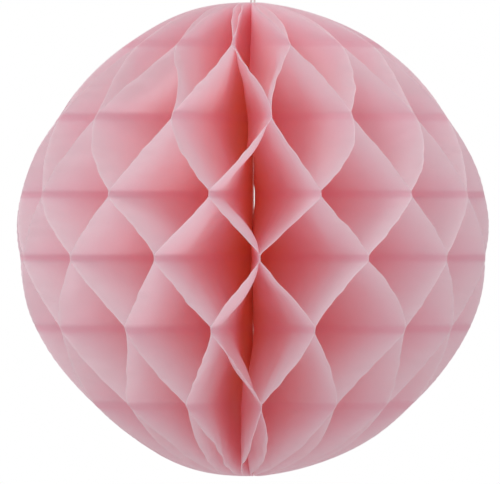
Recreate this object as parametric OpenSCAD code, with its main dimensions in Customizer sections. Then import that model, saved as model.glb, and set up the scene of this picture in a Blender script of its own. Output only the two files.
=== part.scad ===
// Folding tissue-paper honeycomb ball lantern, shown open.
//
// The ball is a fan of thin tissue sheets around an upright thread. Neighbouring sheets are glued
// together along level lines, and the lines of one pair sit halfway between those of the next
// pair, so every sheet zigzags from one neighbour to the other and the fan opens into diamond
// cells. The first and the last sheet are pasted flat on two half-moon cover boards, which meet
// back to back behind the ball and turn about the thread.
//
// Frame: +Z up, front of the ball towards -Y, origin inside the top of the hanging loop.
// Angles run about the thread, 0 at the front and positive towards +X.

/* [Ball] */
// Diameter of the open ball
ball_d = 250; // [200:10:300]
// How far the outline draws in halfway between equator and pole, as a share of the radius
drawn_in = 0.025; // [0:0.005:0.04]

/* [Tissue sheets] */
// Number of tissue sheets in the fan
sheet_count = 30; // [24:2:34]
// Thickness of the solid that stands for one sheet
sheet_t = 0.2; // [0.1:0.05:0.2]
// Thickness of the glue film between two sheets
glue_t = 0.06; // [0.04:0.01:0.08]
// Height of one glue line
line_w = 3.5; // [2:0.5:5]
// Average height from one glue line to the next, as a share of the diameter
line_pitch = 0.15175; // [0.148:0.00025:0.156]
// Height of the lowest glue line below the centre, as a share of the diameter
lowest_line = 0.3485; // [0.34:0.0005:0.36]
// How far the four middle glue lines sit above their even places, from the lowest up
line_stray = [2.4, 1.7, -3.3, -0.7]; // [-4:0.1:4]
// How far the free ends beyond the last glue lines swing, as a share of a full swing
cap_opening = 0.6; // [0.3:0.1:1]
// How much wider the cells open at the front and back than at the sides, in degrees
bunching = 1.4; // [0:0.1:3]

/* [Cover boards] */
// Thickness of one cover board
board_t = 0.4; // [0.3:0.05:0.5]
// Distance from the thread to the straight edge of a board
board_in = 10; // [10:0.5:14]
// How far the boards stop short of the tissue's outer edge
board_short = 1.5; // [1:0.5:4]
// Thickness of the double-sided strips that hold the boards together
strip_t = 0.2; // [0.1:0.05:0.3]
// Width and height of one strip
strip_size = [9, 26]; // [6:1:12]

/* [Thread] */
// Radius of the thread inside the ball
thread_r = 0.6; // [0.4:0.1:1]
// Radius of the thread of the hanging loop
loop_r = 0.55; // [0.4:0.05:0.6]
// Radius of the clear core around the thread
core_r = 3; // [3:0.25:4]
// Radius of a knot
knot_r = 1.9; // [1.7:0.1:2]
// Height of a knot
knot_h = 3.6; // [3:0.2:4]

/* [Hidden] */
$fn = 48;
ball_r = ball_d / 2;
loop_drop = 29.6;                      // from the origin down to the ball's top
knot_top = -loop_drop - 1;             // the top knot sits just inside the ball
centre_z = -(loop_drop + ball_r);
pitch = line_pitch * ball_d;
line_count = 6;
first_line = -lowest_line * ball_d;    // height of line 0 above the ball's centre
half_line = line_w / 2;
pole_lat = 87;                         // latitude at which the sheets stop at either pole
cap_rows = 5;                          // rows between the end lines and the poles
board_face = strip_t / 2 + board_t;    // outer face of a board, from the seam plane
ply = sheet_t + glue_t;                // from one sheet's middle to the next across a glue line
step = 360 / (sheet_count - 2);        // average angle between two glue planes

// Half of the hanging loop's centre line, as sideways place and height, from knot to top
loop_half = [
  [0.9, knot_top], [0.9, -28], [0.9, -25], [1.1, -23.5], [1.5, -22], [2.1, -20], [2.8, -18], [3.5, -16],
  [4.2, -14], [4.8, -12], [5.2, -10], [5.4, -8], [5.3, -6], [4.9, -4], [4.1, -2],
  [3, -0.5], [1.6, 0.3]
];

function two_digits(i) = str(i < 10 ? "0" : "", i);
function sheet_name(i) = str("tissue_sheet_", two_digits(i));

STRIPS = ["adhesive_strip_upper", "adhesive_strip_middle", "adhesive_strip_lower"];

// ---- outline ----

// Radius of the ball's outline at a latitude, and the outline's height and reach there
function outline_r(lat) = ball_r * (1 - drawn_in * pow(sin(2 * lat), 2));
function outline_z(lat) = outline_r(lat) * sin(lat);
function outline_x(lat) = outline_r(lat) * cos(lat);
// Latitude at which the outline has the height z, found by halving
function lat_at(z, lo = -90, hi = 90, n = 24) =
  let (mid = (lo + hi) / 2)
  n == 0 ? mid : outline_z(mid) < z ? lat_at(z, mid, hi, n - 1) : lat_at(z, lo, mid, n - 1);

// ---- tissue sheets ----

// Height of glue line k; lines -1 and 6 are where the next lines would be, beyond the poles
function line_z(k) =
  first_line + k * pitch + (k >= 1 && k <= len(line_stray) ? line_stray[k - 1] : 0);
// Angle of the glue plane between sheet j and sheet j + 1
function glue_angle(j) = let (u = -180 + (j - 1) * step) u + bunching * sin(2 * u);
// Zigzag between 1 on the even lines and -1 on the odd ones, flat across each line; beyond the
// last lines it swings only part of the way
function zigzag(z) =
  let (
    below = [for (m = [-1:line_count - 1]) if (line_z(m) <= z + 1e-9) m],
    k = len(below) == 0 ? -1 : below[len(below) - 1],
    gap = line_z(k + 1) - line_z(k),
    flat = half_line / gap,
    t = max(0, min(1, ((z - line_z(k)) / gap - flat) / (1 - 2 * flat))),
    u = k < 0 ? 1 - cap_opening * (1 - t) : k == line_count - 1 ? cap_opening * t : t
  )
  (k % 2 == 0 ? 1 : -1) * (1 - 2 * u);
// The same for one sheet: 1 where it meets the next sheet, -1 where it meets the one before
function swing(i, z) = (i % 2 == 1 ? 1 : -1) * zigzag(z);

// Latitudes of the rows of a sheet, from pole to pole: both edges of every glue line, one row
// halfway between lines, and evenly spaced rows on the two caps
low_lat = lat_at(line_z(0) - half_line);
high_lat = lat_at(line_z(line_count - 1) + half_line);
row_lats = concat(
  [for (k = [0:cap_rows - 1]) -pole_lat + k * (low_lat + pole_lat) / cap_rows],
  [for (k = [0:line_count - 1], side = [-1, 1, 2])
    if (side < 2 || k < line_count - 1)
      lat_at(side < 2 ? line_z(k) + side * half_line : (line_z(k) + line_z(k + 1)) / 2)],
  [for (k = [1:cap_rows]) high_lat + k * (pole_lat - high_lat) / cap_rows]
);

// A point at radius r and tangential offset e from the half-plane at angle a, at height z
function fan_point(a, r, e, z) = [r * sin(a) + e * cos(a), -r * cos(a) + e * sin(a), z];

// Tangential offset of a sheet's middle: half a ply to its own side of a glue plane, and
// clear of the cover board and the flat sheet at the two ends of the fan
function sheet_offset(i, s) =
  let (
    end = board_face + sheet_t + ply - sheet_t / 2,
    at_low = i == 2 ? end : ply / 2,
    at_high = i == sheet_count - 1 ? -end : -ply / 2
  )
  at_low + (at_high - at_low) * (s + 1) / 2;
// Where the inner edge of a sheet runs: the end sheets keep out of the boards' hinge gap
function inner_r(i) = i == 2 || i == sheet_count - 1 ? core_r + 1.5 : core_r;

// A sheet as a closed shell: four points a row, then faces around and along the rows. Both of
// its broad faces are split along the same diagonals, so that the sheet is equally thick.
module zigzag_sheet(i) {
  low = glue_angle(i - 1);
  high = glue_angle(i);
  rows = len(row_lats);
  points = [
    for (lat = row_lats)
      let (
        z = outline_z(lat),
        s = swing(i, z),
        a = (low + high) / 2 + (high - low) / 2 * s,
        e = sheet_offset(i, s),
        half = sheet_t / 2
      )
      each [
        fan_point(a, inner_r(i), e - half, z + centre_z),
        fan_point(a, outline_x(lat), e - half, z + centre_z),
        fan_point(a, outline_x(lat), e + half, z + centre_z),
        fan_point(a, inner_r(i), e + half, z + centre_z)
      ]
  ];
  sides = [
    for (r = [0:rows - 2], c = [0:3])
      let (d = (c + 1) % 4, p = 4 * r)
      each c == 2
        ? [[p + c, p + 4 + c, p + d], [p + 4 + c, p + 4 + d, p + d]]
        : [[p + c, p + 4 + c, p + 4 + d], [p + c, p + 4 + d, p + d]]
  ];
  last = 4 * (rows - 1);
  ends = [[0, 1, 2], [0, 2, 3], [last, last + 2, last + 1], [last, last + 3, last + 2]];
  color("#dc9fae") polyhedron(points, concat(sides, ends), convexity = 10);
}

// Outline of a half-moon in the seam plane, drawn as distance from the thread and height
module half_moon(inner, short) {
  edge = acos(inner / (ball_r - short));
  lats = [for (k = [0:32]) edge * (k / 16 - 1)];
  polygon([
    for (lat = lats)
      let (r = outline_r(lat) - short)
      [max(inner, r * cos(lat)), r * sin(lat)]
  ]);
}

// Stands a flat drawing upright behind the thread, from depth x0 to x0 + t
module behind_thread(x0, t) {
  translate([x0, 0, centre_z])
    rotate([90, 0, 90])
      linear_extrude(t) children();
}

module flat_sheet(side) {
  x0 = side < 0 ? -board_face - sheet_t : board_face;
  color("#dc9fae") behind_thread(x0, sheet_t) half_moon(board_in, 0);
}

module tissue_sheet(i) {
  if (i == 1) flat_sheet(-1);
  else if (i == sheet_count) flat_sheet(1);
  else zigzag_sheet(i);
}

// ---- covers ----

module cover_board(side) {
  x0 = side < 0 ? -board_face : board_face - board_t;
  color("#e9dcd8") behind_thread(x0, board_t) half_moon(board_in, board_short);
}

// Three strips, one near each end of the boards' round edge and one at its middle
module adhesive_strip(k) {
  reach = [0.6, 0.9, 0.6][k] * ball_r - strip_size[0];
  height = [0.6, 0, -0.6][k] * ball_r;
  color("#f3efe2") behind_thread(-strip_t / 2, strip_t)
    translate([reach, height - strip_size[1] / 2]) square(strip_size);
}

// ---- thread ----

top_knot_z = knot_top - knot_h;
bottom_knot_z = centre_z - ball_r + 1;

module knot(z) {
  translate([0, 0, z])
    rotate_extrude()
      polygon([
        [0, 0], [0.7 * knot_r, 0], [knot_r, 0.3 * knot_h],
        [knot_r, 0.7 * knot_h], [0.7 * knot_r, knot_h], [0, knot_h]
      ]);
}

module spine_thread() {
  foot = bottom_knot_z + knot_h;
  color("#f7f4ee") translate([0, 0, foot]) cylinder(h = top_knot_z - foot, r = thread_r);
}

// Round tube of 8 sides through a list of points in the XZ plane
module flat_tube(route, r) {
  n = len(route);
  function along(k) = route[min(k + 1, n - 1)] - route[max(k - 1, 0)];
  points = [
    for (k = [0:n - 1])
      let (t = along(k) / norm(along(k)), side = [t[2], 0, -t[0]])
      for (q = [0:7]) route[k] + r * (cos(45 * q) * side + sin(45 * q) * [0, 1, 0])
  ];
  skin = [
    for (k = [0:n - 2], q = [0:7])
      let (w = (q + 1) % 8, p = 8 * k)
      each [[p + q, p + 8 + q, p + 8 + w], [p + q, p + 8 + w, p + w]]
  ];
  caps = [[for (q = [0:7]) q], [for (q = [7:-1:0]) 8 * (n - 1) + q]];
  polyhedron(points, concat(skin, caps));
}

module hang_loop() {
  half = [for (p = loop_half) [p[0], 0, p[1]]];
  other = [for (k = [len(half) - 1:-1:0]) [-half[k][0], 0, half[k][2]]];
  color("#f7f4ee") flat_tube(concat(half, [[0, 0, loop_r]], other), loop_r);
}

// ---- nodes ----

for (i = [1:sheet_count])
  tissue_sheet(i);
cover_board(-1);  // cover_board_left
cover_board(1);  // cover_board_right
for (k = [0:2])
  adhesive_strip(k);
spine_thread();
color("#f7f4ee") knot(top_knot_z);  // top_knot
color("#f7f4ee") knot(bottom_knot_z);  // bottom_knot
hang_loop();
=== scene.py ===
import math

import bpy
import numpy as np
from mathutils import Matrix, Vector


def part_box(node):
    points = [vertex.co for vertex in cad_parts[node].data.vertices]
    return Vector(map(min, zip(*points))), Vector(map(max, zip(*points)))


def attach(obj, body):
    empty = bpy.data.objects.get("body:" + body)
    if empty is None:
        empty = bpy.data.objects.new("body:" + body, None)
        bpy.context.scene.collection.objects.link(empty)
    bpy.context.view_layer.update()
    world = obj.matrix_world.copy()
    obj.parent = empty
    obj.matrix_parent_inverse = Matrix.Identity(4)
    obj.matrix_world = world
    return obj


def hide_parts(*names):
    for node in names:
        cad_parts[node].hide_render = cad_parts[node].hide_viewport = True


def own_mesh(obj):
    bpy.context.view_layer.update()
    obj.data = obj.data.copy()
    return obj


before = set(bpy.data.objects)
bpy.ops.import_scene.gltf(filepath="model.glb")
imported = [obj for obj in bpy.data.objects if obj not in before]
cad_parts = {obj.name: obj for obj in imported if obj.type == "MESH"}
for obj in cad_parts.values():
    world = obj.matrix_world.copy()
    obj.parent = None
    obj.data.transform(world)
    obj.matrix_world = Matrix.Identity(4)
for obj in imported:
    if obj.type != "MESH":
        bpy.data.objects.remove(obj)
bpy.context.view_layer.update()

# ---- sizes, in metres and degrees ----

SHEETS = 30            # tissue sheets round the thread; the first and last are pasted on the covers
LINES = 6              # glue lines seen from pole to pole
BUNCHING = 1.4         # how much wider the cells open at front and back
DRAWN_IN = 0.025       # how far the outline draws in halfway between equator and pole
POLE_LAT = 87.0        # latitude at which the sheets stop
LINE_H = 0.0035        # height of a glue line
PAPER = 0.00012        # thickness of a sheet, crinkle included
FILM = 0.00003         # glue film between two sheets
BOARD_FACE = 0.0005    # outer face of a cover board, from the seam plane
BOARD_IN = 0.010       # straight edge of a cover board, from the thread
ASIDE = 0.0007         # how far the end sheets would stand off the thread when folded, to clear the covers; worked out for each sheet but not used, as nothing here folds them
CROWDED = 3.5          # how far the cells on the right crowd towards the front
SPOT_SPREAD = 0.9      # how far glued spots stray from even planes, in degrees
CAP_OPENING = 0.6      # swing of the free ends beyond the last glue lines
CORD_D = 0.0011        # thread of the hanging loop
ROWS, COLUMNS = 250, 34
ROOM_LIGHT = 0.56      # brightness of the white room beside the backdrop that the camera sees
FROM_ABOVE = 0.2       # how much brighter the room is overhead, and darker below

# Rims that bow from the straight way between their spots, by (sheet, line below), in swings
BOWS = {
    (11, 2): 0.05, (11, 4): -0.20, (12, 0): 0.17, (12, 3): 0.08, (13, 4): -0.29, (14, 0): 0.13,
    (14, 3): 0.10, (15, 1): 0.0, (15, 2): 0.0, (15, 4): -0.20, (16, 0): 0.13, (16, 1): 0.0,
    (16, 2): 0.0, (16, 4): -0.24, (17, 3): 0.20, (17, 4): -0.13, (19, 0): 0.15, (19, 3): 0.17,
    (20, 4): -0.25,
}
# Bellies that sheets have a little inside their straight rim, in swings
BELLIES = {
    (10, 3): 0.2, (11, 4): 0.25, (12, 4): 0.2, (14, 1): -0.1, (15, 0): 0.15, (15, 1): 0.22, (15, 2): -0.24,
    (15, 3): 0.12, (16, 2): 0.08, (20, 4): 0.25,
}
# The sheets' inner parts lean to one side, by height in ball radii, in millimetres
LEANS = [(-1, -4), (-0.85, -6), (-0.7, -7), (-0.5, -4), (-0.3, -2.5), (-0.1, -1), (0.2, -1),
         (0.4, -3), (0.6, -5), (0.8, -5.5), (1, -3.5)]
# Where the sheets on the right stand back from the thread, as height and half height in radii
OPENINGS = [(0.32, 0.06), (0.18, 0.07), (-0.38, 0.02)]

low, high = (np.array(c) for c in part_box("tissue_sheet_15"))
CENTRE = np.array([0.0, 0.0, (low[2] + high[2]) / 2])
BALL_R = (high[2] - low[2]) / 2 / math.sin(math.radians(POLE_LAT)) / (
    1 - DRAWN_IN * math.sin(math.radians(2 * POLE_LAT))**2)
PITCH = 0.3035 * BALL_R
LOWEST_LINE = -0.697 * BALL_R
# Heights of the glue lines above the centre, with one more beyond the last at either end
LINE_HEIGHTS = LOWEST_LINE + PITCH * np.arange(-1, LINES + 1) + (
    0, 0, 0.0024, 0.0017, -0.0033, -0.0007, 0, 0)
STEP = 360.0 / (SHEETS - 2)


# ---- camera: level, a long way off, a little to the left of the front ----

def add_camera():
    """A long lens on the ball's own height, so that the glue lines look level right across. It is
    as long as makes the ball fill its share of the picture's width."""
    distance, turned, aim_left, aim_down = 4.0, math.radians(-3.0), 0.00148, 0.00143
    filled_width = 0.948
    data = bpy.data.cameras.new("camera")
    data.sensor_width = 36.0
    data.lens = data.sensor_width * filled_width / 2 * math.sqrt(distance**2 - BALL_R**2) / BALL_R
    data.clip_end = 50.0
    camera = bpy.data.objects.new("camera", data)
    out = Vector((math.sin(turned), -math.cos(turned), 0.0))
    right = Vector((math.cos(turned), math.sin(turned), 0.0))
    target = Vector(CENTRE) - right * aim_left - Vector((0, 0, aim_down))
    camera.location = target + out * distance
    camera.rotation_euler = (-out).to_track_quat("-Z", "Y").to_euler()
    bpy.context.scene.collection.objects.link(camera)
    bpy.context.scene.camera = camera


add_camera()


# ---- shader expressions ----

class Sock:
    """A shader socket that Python's own operators work on; each adds one Math node."""

    def __init__(self, tree, socket):
        self.tree, self.socket = tree, socket

    def node(self, kind, settings=None, **inputs):
        """Adds a node: settings first, then its sockets by name or number."""
        made = self.tree.nodes.new(kind)
        for key, value in (settings or {}).items():
            setattr(made, key, value)
        for key, value in inputs.items():
            name = int(key[1:]) if key[0] == "_" and key[1:].isdigit() else key.replace("_", " ")
            slot = made.inputs[name]
            if isinstance(value, Sock):
                self.tree.links.new(value.socket, slot)
            else:
                slot.default_value = value
        return made

    def out(self, made, name=0):
        return Sock(self.tree, made.outputs[name])

    def math(self, operation, *values):
        made = self.node("ShaderNodeMath", {"operation": operation},
                         **{f"_{k}": v for k, v in enumerate(values)})
        return self.out(made)

    def __add__(self, other):
        return self.math("ADD", self, other)

    def __sub__(self, other):
        return self.math("SUBTRACT", self, other)

    def __rsub__(self, other):
        return self.math("SUBTRACT", other, self)

    def __mul__(self, other):
        return self.math("MULTIPLY", self, other)

    def __truediv__(self, other):
        return self.math("DIVIDE", self, other)

    def __pow__(self, other):
        return self.math("POWER", self, other)

    __radd__, __rmul__ = __add__, __mul__

    def between(self, low, high):
        """0 below low, 1 above high, smooth between."""
        made = self.node("ShaderNodeMapRange", {"interpolation_type": "SMOOTHSTEP"},
                         Value=self, From_Min=low, From_Max=high)
        return self.out(made)

    def mix(self, low, high):
        """The colour low where this is 0 and high where it is 1."""
        made = self.node("ShaderNodeMix", {"data_type": "RGBA"}, Factor=self, _6=low, _7=high)
        return self.out(made, 2)

    def noise(self, scale, detail=3.0, rough=0.5):
        """Fractal noise on this vector, about 0 to 1."""
        made = self.node("ShaderNodeTexNoise", Vector=self, Scale=scale, Detail=detail,
                         Roughness=rough)
        return self.out(made)


def new_material(name):
    """A material with no output yet, and the tree's own coordinates as sockets."""
    material = bpy.data.materials.new(name)
    material.use_nodes = True
    material.node_tree.nodes.clear()
    start = Sock(material.node_tree, None)
    coordinates = start.node("ShaderNodeTexCoord")
    return material, start.out(coordinates, "Object"), start.out(coordinates, "UV")


def finish_material(any_sock, shader):
    """Links a shader to the material's output."""
    out = any_sock.node("ShaderNodeOutputMaterial")
    any_sock.tree.links.new(shader.socket, out.inputs["Surface"])


def split(vector):
    made = vector.node("ShaderNodeSeparateXYZ", _0=vector)
    return vector.out(made, 0), vector.out(made, 1), vector.out(made, 2)


def bump(any_sock, height, distance):
    made = any_sock.node("ShaderNodeBump", Height=height, Strength=1.0, Distance=distance)
    return any_sock.out(made)


def tissue_material():
    """Thin dyed paper: pale on its face, saturated where light comes through it. Its face colour carries
    painted shade: saturated near the thread, where the deep cells get light only through many sheets, and
    pale at the rim.
    """
    material, place, along = new_material("dyed_tissue_paper_painted_depth_shade")
    reach, line, _ = split(along)
    cloudy = place.noise(60.0, 4.0, 0.6)
    fibres = place.noise(900.0, 3.0, 0.6)
    crinkle = place.noise(300.0, 3.0, 0.6)
    to_line = (line - line.math("ROUND", line)).math("ABSOLUTE", line - line.math("ROUND", line))
    glued = 1.0 - to_line.between(0.03, 0.06)
    # painted shade: the base colour is painted saturated near the thread, rosy halfway out and pale at the
    # rim, for the shade deep in the cells
    inner, outer = reach.between(0.05, 0.45), reach.between(0.45, 0.97)
    cut_edge = reach.between(0.984, 0.996)
    face = inner.mix((0.999, 0.87, 0.42, 1), (0.985, 0.70, 0.635, 1))
    face = outer.mix(face, (0.992, 0.985, 1.0, 1))
    face = (cloudy.between(0.3, 0.7) * 0.14).mix(face, (0.98, 0.92, 0.96, 1))
    face = (fibres.between(0.45, 0.75) * 0.12).mix(face, (0.94, 0.70, 0.76, 1))
    face = (glued * 0.25).mix(face, (0.95, 0.66, 0.72, 1))
    relief = bump(place, fibres * 0.8 + crinkle * 2.5 + cloudy * 2.0, 0.0002)
    paper = place.node("ShaderNodeBsdfPrincipled", Base_Color=face, Roughness=0.9, Normal=relief)
    paper.inputs["Specular IOR Level"].default_value = 0.15
    behind = place.node("ShaderNodeBsdfTranslucent", Color=(0.996, 0.885, 0.922, 1))
    both = place.node("ShaderNodeMixShader", _0=0.88 - cut_edge * 0.14 - crinkle * 0.2,
                      _1=place.out(paper), _2=place.out(behind))
    finish_material(place, place.out(both))
    return material


def card_material():
    """Pale greyboard with a fine felt grain."""
    material, place, _ = new_material("cover_card")
    grain = place.noise(700.0, 4.0, 0.6)
    cloudy = place.noise(40.0, 3.0)
    face = (grain.between(0.35, 0.7) * 0.35).mix((0.80, 0.75, 0.71, 1), (0.66, 0.60, 0.56, 1))
    face = (cloudy.between(0.4, 0.7) * 0.2).mix(face, (0.86, 0.83, 0.80, 1))
    paper = place.node("ShaderNodeBsdfPrincipled", Base_Color=face, Roughness=0.85,
                       Normal=bump(place, grain, 0.00008))
    finish_material(place, place.out(paper))
    return material


def tape_material():
    """Milky double-sided tape with small trapped bubbles."""
    material, place, _ = new_material("sticky_strip")
    bubbles = place.noise(1500.0, 2.0)
    face = bubbles.between(0.5, 0.65).mix((0.86, 0.83, 0.72, 1), (0.93, 0.91, 0.85, 1))
    tape = place.node("ShaderNodeBsdfPrincipled", Base_Color=face,
                      Roughness=0.35 + bubbles * 0.3)
    finish_material(place, place.out(tape))
    return material


def cotton_material():
    """White cotton thread: two plies run round it as a slanting stripe, the groove between them darkened
    as painted shade, with loose fibre noise.
    """
    material, place, along = new_material("cotton_thread")
    around, length, _ = split(along)
    twist = (around + length).math("FRACT", around + length)
    # painted shade: the groove between the two plies is darkened in the base colour
    painted_ply_groove_shade = (twist - 0.5).math("ABSOLUTE", twist - 0.5).between(0.3, 0.5)
    fibres = place.noise(6000.0, 3.0, 0.7)
    face = (painted_ply_groove_shade * 0.5 + fibres * 0.2).mix((0.90, 0.88, 0.85, 1), (0.62, 0.56, 0.54, 1))
    cotton = place.node("ShaderNodeBsdfPrincipled", Base_Color=face, Roughness=0.9,
                        Normal=bump(place, fibres, 0.00005))
    cotton.inputs["Sheen Weight"].default_value = 0.3
    finish_material(place, place.out(cotton))
    return material


tissue, card, tape, cotton = tissue_material(), card_material(), tape_material(), cotton_material()


# ---- meshes ----

def mesh_object(name, points, faces, uv, material, sharp=None):
    """An object at the origin from its points, its faces and each point's own uv."""
    data = bpy.data.meshes.new(name)
    data.from_pydata(points.tolist(), [], faces)
    layer = data.uv_layers.new(name="surface")
    corner = np.empty(len(data.loops), np.int32)
    data.loops.foreach_get("vertex_index", corner)
    layer.data.foreach_set("uv", uv[corner].astype(np.float32).ravel())
    data.polygons.foreach_set("use_smooth", np.ones(len(data.polygons), bool))
    data.materials.append(material)
    data.update()
    if sharp is not None:
        data.set_sharp_from_angle(angle=math.radians(sharp))
    made = bpy.data.objects.new(name, data)
    bpy.context.scene.collection.objects.link(made)
    return made


def grid_quads(rows, columns, start=0):
    """Quads of a rows by columns grid of points, numbered row by row from start."""
    at = start + np.arange(rows * columns).reshape(rows, columns)
    return np.stack([at[:-1, :-1], at[:-1, 1:], at[1:, 1:], at[1:, :-1]], -1).reshape(-1, 4)


def shell(name, front, back, uv, material):
    """A closed thin shell between two grids of points: both grids, then a strip round their rim."""
    rows, columns = front.shape[:2]
    count = rows * columns
    faces = [grid_quads(rows, columns), grid_quads(rows, columns, count)[:, ::-1]]
    at = np.arange(count).reshape(rows, columns)
    rim = np.concatenate([at[0, :-1], at[:-1, -1], at[-1, :0:-1], at[:0:-1, 0]])
    after = np.roll(rim, -1)
    faces.append(np.stack([after, rim, rim + count, after + count], -1))
    points = np.concatenate([front.reshape(-1, 3), back.reshape(-1, 3)])
    both = np.concatenate([uv.reshape(-1, 2)] * 2)
    return mesh_object(name, points, np.concatenate(faces).tolist(), both, material, sharp=60)


# ---- the fan of tissue ----

def outline_r(lat):
    """Radius of the ball's outline at a latitude."""
    return BALL_R * (1 - DRAWN_IN * np.sin(np.radians(2 * lat)) ** 2)


def glue_angle(j):
    """Angle of the glue plane between sheet j and sheet j + 1; the front is 0."""
    u = -180.0 + (j - 1) * STEP
    return u + BUNCHING * np.sin(np.radians(2 * u))


def smooth(t):
    t = np.clip(t, 0, 1)
    return t * t * (3 - 2 * t)


chance = np.random.default_rng(11)
# Angle of every glued spot: rows are glue planes 1 to 29, columns are lines -1 to 6. Spots stray a
# little from their plane, apart from those on the two flat sheets.
planes = np.arange(1, SHEETS)
spots = glue_angle(planes)[:, None] + chance.normal(0, SPOT_SPREAD, (SHEETS - 1, LINES + 2))
crowd = smooth((glue_angle(planes) - 32) / 45) * (1 - smooth((glue_angle(planes) - 90) / 70))
spots -= CROWDED * crowd[:, None]
spots[0], spots[-1] = -180.0, 180.0
bows = chance.normal(0, 0.035, (SHEETS + 1, LINES + 1))
bellies = chance.normal(0, 0.07, (SHEETS + 1, LINES + 1))
for table, chosen in ((bows, BOWS), (bellies, BELLIES)):
    for (sheet, line), share in chosen.items():
        table[sheet, line + 1] = share


def spot_angle(i, k):
    """Where sheet i is glued on line k: to the next sheet if i + k is odd, or to the one before."""
    plane = i if (i + k) % 2 else i - 1
    return spots[plane - 1, k + 1]


def ripple(rng, height, reach, count=6):
    """A few crossed waves of 18 to 60 mm that stand for the paper's soft creases."""
    total = np.zeros(np.broadcast(height, reach).shape)
    for _ in range(count):
        up, out = rng.uniform(18, 60), rng.uniform(40, 160)
        lean, phase = rng.choice([-1, 1]), rng.uniform(0, 2 * math.pi)
        total += np.sin(2 * math.pi * (height / up + lean * reach / out) * 1000 + phase) / count
    return total


def lean(points):
    """Moves points sideways by W(z) b(r), with W from LEANS and b a bell that is 0 at the thread
    and beyond 66 mm and 1 at 16 mm. It moves all sheets alike, so none runs into another."""
    height, sideways = np.array(LEANS).T
    r = np.hypot(points[..., 0], points[..., 1])
    bell = smooth(r / 0.016) * (1 - smooth((r - 0.016) / 0.05))
    way = np.interp((points[..., 2] - CENTRE[2]) / BALL_R, height, sideways) / 1000
    points[..., 0] += way * bell
    return points


def tissue_sheet(i):
    """Sheet i as a thin shell. A row at height z runs out from the thread at the angle
    spot(k) + (spot(k + 1) - spot(k)) * f(t), where t goes from 0 to 1 between glue lines k and
    k + 1. At the rim f is a straight ramp bowed by 4 b t (1 - t), a little inside it has a belly
    of the same form, and nearer the thread it is an S."""
    rng = np.random.default_rng(100 + i)
    lat = np.linspace(-POLE_LAT, POLE_LAT, ROWS)[:, None]
    z = outline_r(lat) * np.sin(np.radians(lat))
    rim = outline_r(lat) * np.cos(np.radians(lat))
    rim = rim * (1 + 0.003 * ripple(rng, z, 0.0 * z) + 0.002 * ripple(rng, 9 * z, 0.0 * z))
    sewn = 0.0008 + 0.0006 * np.maximum(0, ripple(rng, 2.5 * z, 0.0 * z, 4)) ** 2
    sewn = sewn + 0.0016 * smooth((np.abs(z) - 0.115) / 0.004)
    if i >= 16:
        across_view = math.sin(math.radians((glue_angle(i - 1) + glue_angle(i)) / 2 + 3))
        for height, half in OPENINGS:
            gape = smooth(1.3 - np.abs(z / BALL_R - height) / half)
            sewn = sewn + 0.0020 * gape / max(across_view, 0.22)
    share = np.linspace(0, 1, COLUMNS)[None, :] ** 0.8
    r = sewn + (rim - sewn) * share

    k = np.clip(np.searchsorted(LINE_HEIGHTS, z[:, 0], side="right") - 2, -1, LINES - 1)[:, None]
    gap = LINE_HEIGHTS[k + 2] - LINE_HEIGHTS[k + 1]
    flat = LINE_H / 2 / gap
    part = (z - LINE_HEIGHTS[k + 1]) / gap
    t = np.clip((part - flat) / (1 - 2 * flat), 0, 1)
    slack = np.clip(0.04 + 0.66 * smooth(1.05 - share), 0, 1)
    f = (1 - slack) * t + slack * smooth(t)
    hump = 4 * t * (1 - t)
    f = f + bows[i, k + 1] * hump * smooth((share - 0.5) / 0.5)
    f = f + bellies[i, k + 1] * hump * smooth(1 - np.abs(share - 0.8) / 0.2)
    f = np.where(k < 0, 1 - CAP_OPENING * (1 - f), np.where(k == LINES - 1, CAP_OPENING * f, f))
    table = np.array([spot_angle(i, m) for m in range(-1, LINES + 1)])
    below, above = table[k + 1], table[k + 2]
    angle = np.radians(below + (above - below) * f)

    up = np.where((i + k) % 2 == 1, 1.0, -1.0)
    side = up * (1 - 2 * f)
    near = (PAPER + FILM) / 2
    end = BOARD_FACE + PAPER + FILM + PAPER / 2
    at_low = end if i == 2 else near
    at_high = -end if i == SHEETS - 1 else -near
    off = at_low + (at_high - at_low) * (side + 1) / 2
    free = np.clip(1 - side**2, 0, 1) ** 1.5
    creases = 0.0010 * ripple(rng, z, r) + 0.0008 * ripple(rng, 0.3 * z, 3.5 * r)
    creases = creases + 0.0009 * smooth((share - 0.8) / 0.2) * ripple(rng, 3.5 * z, 0.0 * z)
    off = off + free * creases * np.clip(r / 0.03, 0, 1)

    def face(shift):
        e = off + shift
        x = r * np.sin(angle) + e * np.cos(angle)
        y = -r * np.cos(angle) + e * np.sin(angle)
        return lean(np.stack([x, y, np.broadcast_to(z + CENTRE[2], x.shape)], -1))

    # depth below the rim, carried in the uv for the tissue's painted depth shade
    depth = (rim - r) / (0.5 * BALL_R + 0.5 * rim)
    uv = np.stack([1 - depth, np.broadcast_to(k + part, r.shape)], -1)
    made = shell(f"zigzag_sheet_{i:02d}", face(PAPER / 2), face(-PAPER / 2), uv, tissue)
    middle = math.radians((glue_angle(i - 1) + glue_angle(i)) / 2)
    across = np.array([math.cos(middle), math.sin(middle), 0.0])
    return made, across


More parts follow.
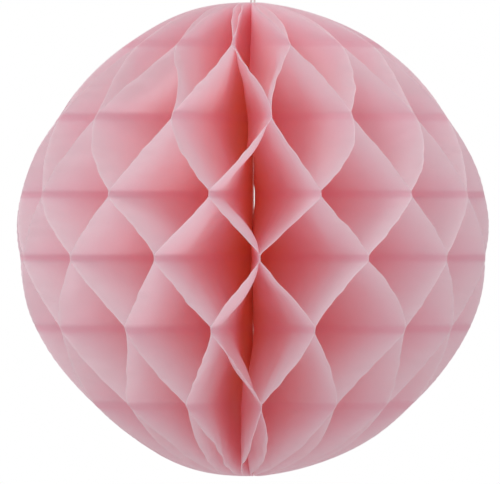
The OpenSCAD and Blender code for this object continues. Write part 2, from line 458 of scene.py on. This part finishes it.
def flat_sheet(side):
    """The first or last sheet: a flat half-moon pasted on its cover board, with a wavy cut edge."""
    rng = np.random.default_rng(300 + side)
    lat = np.linspace(-POLE_LAT, POLE_LAT, ROWS)[:, None]
    z = outline_r(lat) * np.sin(np.radians(lat))
    rim = np.maximum(outline_r(lat) * np.cos(np.radians(lat)), BOARD_IN + 0.0005)
    rim = rim * (1 + 0.004 * ripple(rng, z, 0.0 * z))
    share = np.linspace(0, 1, COLUMNS)[None, :]
    y = BOARD_IN + (rim - BOARD_IN) * share
    blister = 0.00004 * (1 + ripple(rng, 2 * z, 2 * y))
    x = side * (BOARD_FACE + blister)
    height = np.broadcast_to(z + CENTRE[2], y.shape)
    uv = np.stack([1 - (rim - y) / BALL_R, np.broadcast_to((z - LOWEST_LINE) / PITCH, y.shape)], -1)
    outer = np.stack([x + side * PAPER, y, height], -1)
    inner = np.stack([x, y, height], -1)
    pair = (outer, inner) if side < 0 else (inner, outer)
    name = "pasted_sheet_left" if side < 0 else "pasted_sheet_right"
    return shell(name, *pair, uv, tissue)


for number in range(2, SHEETS):
    piece, across = tissue_sheet(number)
    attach(piece, f"leaf_{number:02d}")
    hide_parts(f"tissue_sheet_{number:02d}")
    aside = ASIDE * (1 - 2 * (number - 2) / (SHEETS - 3))
    tuple(CENTRE + across * aside)
    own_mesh(piece)

for side, body, node in ((-1, "spine", "tissue_sheet_01"), (1, "right_cover", "tissue_sheet_30")):
    piece = flat_sheet(side)
    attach(piece, body)
    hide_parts(node)


# ---- covers and strips keep their CAD shape ----

BOARDS = ("cover_board_left", "cover_board_right")
STRIPS = ("adhesive_strip_upper", "adhesive_strip_middle", "adhesive_strip_lower")
for nodes, finish in ((BOARDS, card), (STRIPS, tape)):
    for name in nodes:
        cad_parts[name].data.materials.clear()
        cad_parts[name].data.materials.append(finish)


# ---- thread ----

def thread_tube(name, path, radius, closed=False, twist_length=0.0032, sides=16):
    """A two-ply thread: a tube round the path whose section is a slightly pinched circle that
    turns once in every twist_length."""
    path = np.asarray(path, float)
    if closed:
        ahead, behind = np.roll(path, -1, 0), np.roll(path, 1, 0)
    else:
        ahead = np.concatenate([path[1:], path[-1:]])
        behind = np.concatenate([path[:1], path[:-1]])
    tangent = ahead - behind
    tangent /= np.linalg.norm(tangent, axis=1)[:, None]
    helper = np.where(np.abs(tangent[:, 1:2]) < 0.9, [[0.0, 1.0, 0.0]], [[1.0, 0.0, 0.0]])
    first = np.cross(tangent, helper)
    first /= np.linalg.norm(first, axis=1)[:, None]
    second = np.cross(tangent, first)
    gone = np.concatenate([[0], np.cumsum(np.linalg.norm(np.diff(path, axis=0), axis=1))])
    around = np.linspace(0, 2 * math.pi, sides, endpoint=False)[None, :]
    pinch = 0.86 + 0.14 * np.abs(np.cos(around + math.pi * gone[:, None] / twist_length))
    ring = radius * pinch[..., None] * (
        np.cos(around)[..., None] * first[:, None] + np.sin(around)[..., None] * second[:, None])
    points = (path[:, None] + ring).reshape(-1, 3)
    count = len(path)
    at = np.arange(count * sides).reshape(count, sides)
    if closed:
        at = np.concatenate([at, at[:1]])
    side = np.roll(at, -1, 1)
    quads = np.stack([at[:-1], at[1:], side[1:], side[:-1]], -1).reshape(-1, 4)
    uv = np.stack(np.broadcast_arrays(around / (2 * math.pi), gone[:, None] / twist_length), -1)
    faces = quads.tolist()
    if not closed:
        faces += [at[0].tolist(), at[-1, ::-1].tolist()]
    return mesh_object(name, points, faces, uv.reshape(-1, 2), cotton)


def resample(points, gap):
    """The same line with a point every gap, rounded by a cubic through each run of four points."""
    points = np.asarray(points, float)
    padded = np.concatenate([[2 * points[0] - points[1]], points, [2 * points[-1] - points[-2]]])
    t = np.linspace(0, 1, 12, endpoint=False)[:, None]
    runs = []
    for a, b, c, d in zip(padded[:-3], padded[1:-2], padded[2:-1], padded[3:]):
        runs.append(0.5 * (2 * b + (c - a) * t + (2 * a - 5 * b + 4 * c - d) * t**2
                           + (3 * b - a - 3 * c + d) * t**3))
    fine = np.concatenate(runs + [points[-1:]])
    gone = np.concatenate([[0], np.cumsum(np.linalg.norm(np.diff(fine, axis=0), axis=1))])
    wanted = np.linspace(0, gone[-1], max(2, int(gone[-1] / gap)))
    return np.stack([np.interp(wanted, gone, fine[:, c]) for c in range(3)], -1)


# Half of the hanging loop, sideways and height in millimetres from knot to top, as in the CAD
LOOP_HALF = [
    (0.9, -30.6), (0.9, -28), (0.9, -25), (1.1, -23.5), (1.5, -22), (2.1, -20), (2.8, -18), (3.5, -16),
    (4.2, -14), (4.8, -12), (5.2, -10), (5.4, -8), (5.3, -6), (4.9, -4), (4.1, -2),
    (3, -0.5), (1.6, 0.3),
]


def hanging_loop():
    """The loop above the ball: the half outline from one end to the top, and its mirror image."""
    right = [(x / 1000, 0.0, z / 1000) for x, z in LOOP_HALF]
    top = [(0.0, 0.0, CORD_D / 2)]
    left = [(-x, y, z) for x, y, z in right[::-1]]
    path = resample(right + top + left, 0.0004)
    piece = thread_tube("hanging_thread_loop", path, CORD_D / 2)
    length = float(np.linalg.norm(np.diff(path, axis=0), axis=1).sum())
    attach(piece, "spine")
    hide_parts("hang_loop")
    return piece, path, length


def knot(name, node):
    """A closed trefoil of thread, squeezed into the CAD knot's box: the overhand knot's form."""
    lo, hi = (np.array(c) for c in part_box(node))
    middle, half = (lo + hi) / 2, (hi - lo) / 2
    t = np.linspace(0, 2 * math.pi, 140, endpoint=False)
    shape = np.stack([np.sin(t) + 2 * np.sin(2 * t), np.cos(t) - 2 * np.cos(2 * t), -np.sin(3 * t)], -1)
    shape = shape / np.abs(shape).max(0) * (half - CORD_D / 2)
    piece = thread_tube(name, middle + shape, CORD_D / 2, closed=True)
    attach(piece, "spine")
    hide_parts(node)
    return piece


def core_thread():
    """The thread between the knots, straight along the axis."""
    lo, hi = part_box("spine_thread")
    top = np.linspace(lo[2] - 0.001, hi[2] + 0.001, 700)
    path = np.stack([0 * top, 0 * top, top], -1)
    piece = thread_tube("core_thread", path, 0.0006)
    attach(piece, "spine")
    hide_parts("spine_thread")


loop, loop_path, loop_length = hanging_loop()
knot("upper_knot", "top_knot")
knot("lower_knot", "bottom_knot")
core_thread()


# ---- light and floor ----

def area_light(name, place, size, power, colour=(1, 1, 1)):
    data = bpy.data.lights.new(name, "AREA")
    data.size, data.energy, data.color = size, power, colour
    lamp = bpy.data.objects.new(name, data)
    lamp.location = Vector(CENTRE) + Vector(place)
    lamp.rotation_euler = (-Vector(place)).to_track_quat("-Z", "Y").to_euler()
    bpy.context.scene.collection.objects.link(lamp)


def surroundings():
    """A room of even white light, a little brighter overhead, and a wide pale floor far below."""
    world = bpy.data.worlds.new("white_studio")
    world.use_nodes = True
    world.node_tree.nodes.clear()
    start = Sock(world.node_tree, None)
    seen = start.out(start.node("ShaderNodeLightPath"), "Is Camera Ray")
    way = start.out(start.node("ShaderNodeTexCoord"), "Generated")
    room = ROOM_LIGHT + split(way)[2] * FROM_ABOVE
    sky = start.node("ShaderNodeBackground", Color=(1, 1, 1, 1), Strength=room + seen * (1.0 - room))
    world_out = start.node("ShaderNodeOutputWorld")
    world.node_tree.links.new(sky.outputs[0], world_out.inputs["Surface"])
    bpy.context.scene.world = world
    half, drop = 30.0, 1.6
    corners = [(-half, -half), (half, -half), (half, half), (-half, half)]
    data = bpy.data.meshes.new("studio_floor")
    data.from_pydata([(x, y, CENTRE[2] - drop) for x, y in corners], [], [(0, 1, 2, 3)])
    material, place, _ = new_material("pale_floor")
    speck = place.noise(30.0)
    face = speck.mix((0.80, 0.80, 0.80, 1), (0.84, 0.84, 0.84, 1))
    floor_paint = place.node("ShaderNodeBsdfPrincipled", Base_Color=face, Roughness=0.7)
    finish_material(place, place.out(floor_paint))
    data.materials.append(material)
    floor = bpy.data.objects.new("studio_floor", data)
    bpy.context.scene.collection.objects.link(floor)


surroundings()
area_light("key", (-1.2, -1.2, 2.0), 1.2, 17.0)
bpy.context.scene.view_settings.view_transform = "Standard"
bpy.context.scene.cycles.diffuse_bounces = 64
bpy.context.scene.cycles.transmission_bounces = 64
bpy.context.scene.cycles.max_bounces = 100
